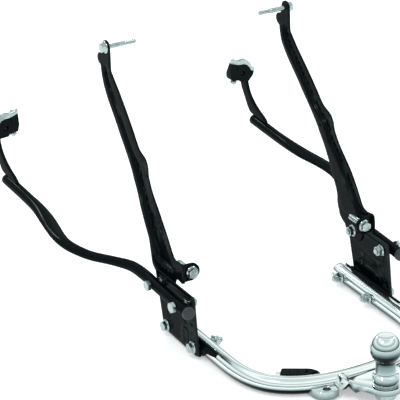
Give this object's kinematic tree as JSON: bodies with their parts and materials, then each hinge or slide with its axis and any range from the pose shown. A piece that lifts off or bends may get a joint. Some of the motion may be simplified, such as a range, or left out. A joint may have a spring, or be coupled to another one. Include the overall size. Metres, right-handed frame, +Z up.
{
  "type": "motorcycle trailer hitch",
  "caption": "Bolt-on motorcycle trailer hitch: chrome U-shaped crossbar with a ball mount, black pressed uprights, side plates and long front stays with frame clamps",
  "frame": {"origin": "under the hitch ball's axis, at the height of the crossbar's centreline", "axes": "+Y towards the front of the motorcycle, +X to the rider's right, +Z up; the hitch is symmetric about the YZ plane"},
  "size_m": [0.545, 0.9058, 0.4379],
  "materials": {
    "bar_chrome": "bright chrome plate on steel tube and plate",
    "ball_chrome": "polished chrome plate on the turned ball",
    "black_coat": "semi-gloss black powder coat on steel",
    "zinc_plate": "bright zinc plate",
    "cap_plastic": "moulded black plastic"
  },
  "bodies": {
    "frame": {"crossbar_tube": "bar_chrome", "saddle_left": "black_coat", "side_plate_left": "black_coat", "strut_left": "black_coat", "ear_left": "black_coat", "stay_tube_left": "black_coat", "stem_left": "black_coat", "clamp_body_left": "black_coat", "stay_end_cap_left": "cap_plastic", "stay_front_plug_left": "cap_plastic", "clamp_nut_left": "zinc_plate", "chain_lug_left": "bar_chrome", "bar_bolt_left_1": "zinc_plate", "bar_nut_left_1": "zinc_plate", "stay_bolt_left_1": "zinc_plate", "stay_nut_left_1": "zinc_plate", "stay_spacer_left_1": "zinc_plate", "bar_bolt_left_2": "zinc_plate", "bar_nut_left_2": "zinc_plate", "stay_bolt_left_2": "zinc_plate", "stay_nut_left_2": "zinc_plate", "stay_spacer_left_2": "zinc_plate", "saddle_right": "black_coat", "side_plate_right": "black_coat", "strut_right": "black_coat", "ear_right": "black_coat", "stay_tube_right": "black_coat", "stem_right": "black_coat", "clamp_body_right": "black_coat", "stay_end_cap_right": "cap_plastic", "stay_front_plug_right": "cap_plastic", "clamp_nut_right": "zinc_plate", "chain_lug_right": "bar_chrome", "bar_bolt_right_1": "zinc_plate", "bar_nut_right_1": "zinc_plate", "stay_bolt_right_1": "zinc_plate", "stay_nut_right_1": "zinc_plate", "stay_spacer_right_1": "zinc_plate", "bar_bolt_right_2": "zinc_plate", "bar_nut_right_2": "zinc_plate", "stay_bolt_right_2": "zinc_plate", "stay_nut_right_2": "zinc_plate", "stay_spacer_right_2": "zinc_plate", "ball_plate": "bar_chrome", "ball_washer": "zinc_plate", "connector_lug": "bar_chrome", "connector_plate": "black_coat"},
    "ball": {"hitch_ball": "ball_chrome", "ball_nut": "zinc_plate"},
    "top_bolt_left_body": {"top_bolt_left": "zinc_plate"},
    "top_bolt_right_body": {"top_bolt_right": "zinc_plate"},
    "ear_bolt_left_body": {"ear_bolt_left": "zinc_plate"},
    "ear_bolt_right_body": {"ear_bolt_right": "zinc_plate"},
    "clamp_strap_left_body": {"clamp_strap_left": "zinc_plate", "clamp_bolt_left": "zinc_plate"},
    "clamp_strap_right_body": {"clamp_strap_right": "zinc_plate", "clamp_bolt_right": "zinc_plate"}
  },
  "joints": [
    {"name": "ball_turn", "type": "hinge", "parent": "frame", "child": "ball", "pos_m": [0, 0, 0.079], "axis": [0, 0, 1], "range_deg": [-180, 180]},
    {"name": "top_bolt_left_out", "type": "slide", "parent": "frame", "child": "top_bolt_left_body", "axis": [-1, 0, 0], "range_m": [0, 0.056]},
    {"name": "top_bolt_right_out", "type": "slide", "parent": "frame", "child": "top_bolt_right_body", "axis": [1, 0, 0], "range_m": [0, 0.056]},
    {"name": "ear_bolt_left_out", "type": "slide", "parent": "frame", "child": "ear_bolt_left_body", "axis": [0, -1, 0], "range_m": [0, 0.044]},
    {"name": "ear_bolt_right_out", "type": "slide", "parent": "frame", "child": "ear_bolt_right_body", "axis": [0, -1, 0], "range_m": [0, 0.044]},
    {"name": "clamp_strap_left_lift", "type": "slide", "parent": "frame", "child": "clamp_strap_left_body", "axis": [0, 0, 1], "range_m": [0, 0.008]},
    {"name": "clamp_strap_right_lift", "type": "slide", "parent": "frame", "child": "clamp_strap_right_body", "axis": [0, 0, 1], "range_m": [0, 0.008]}
  ]
}
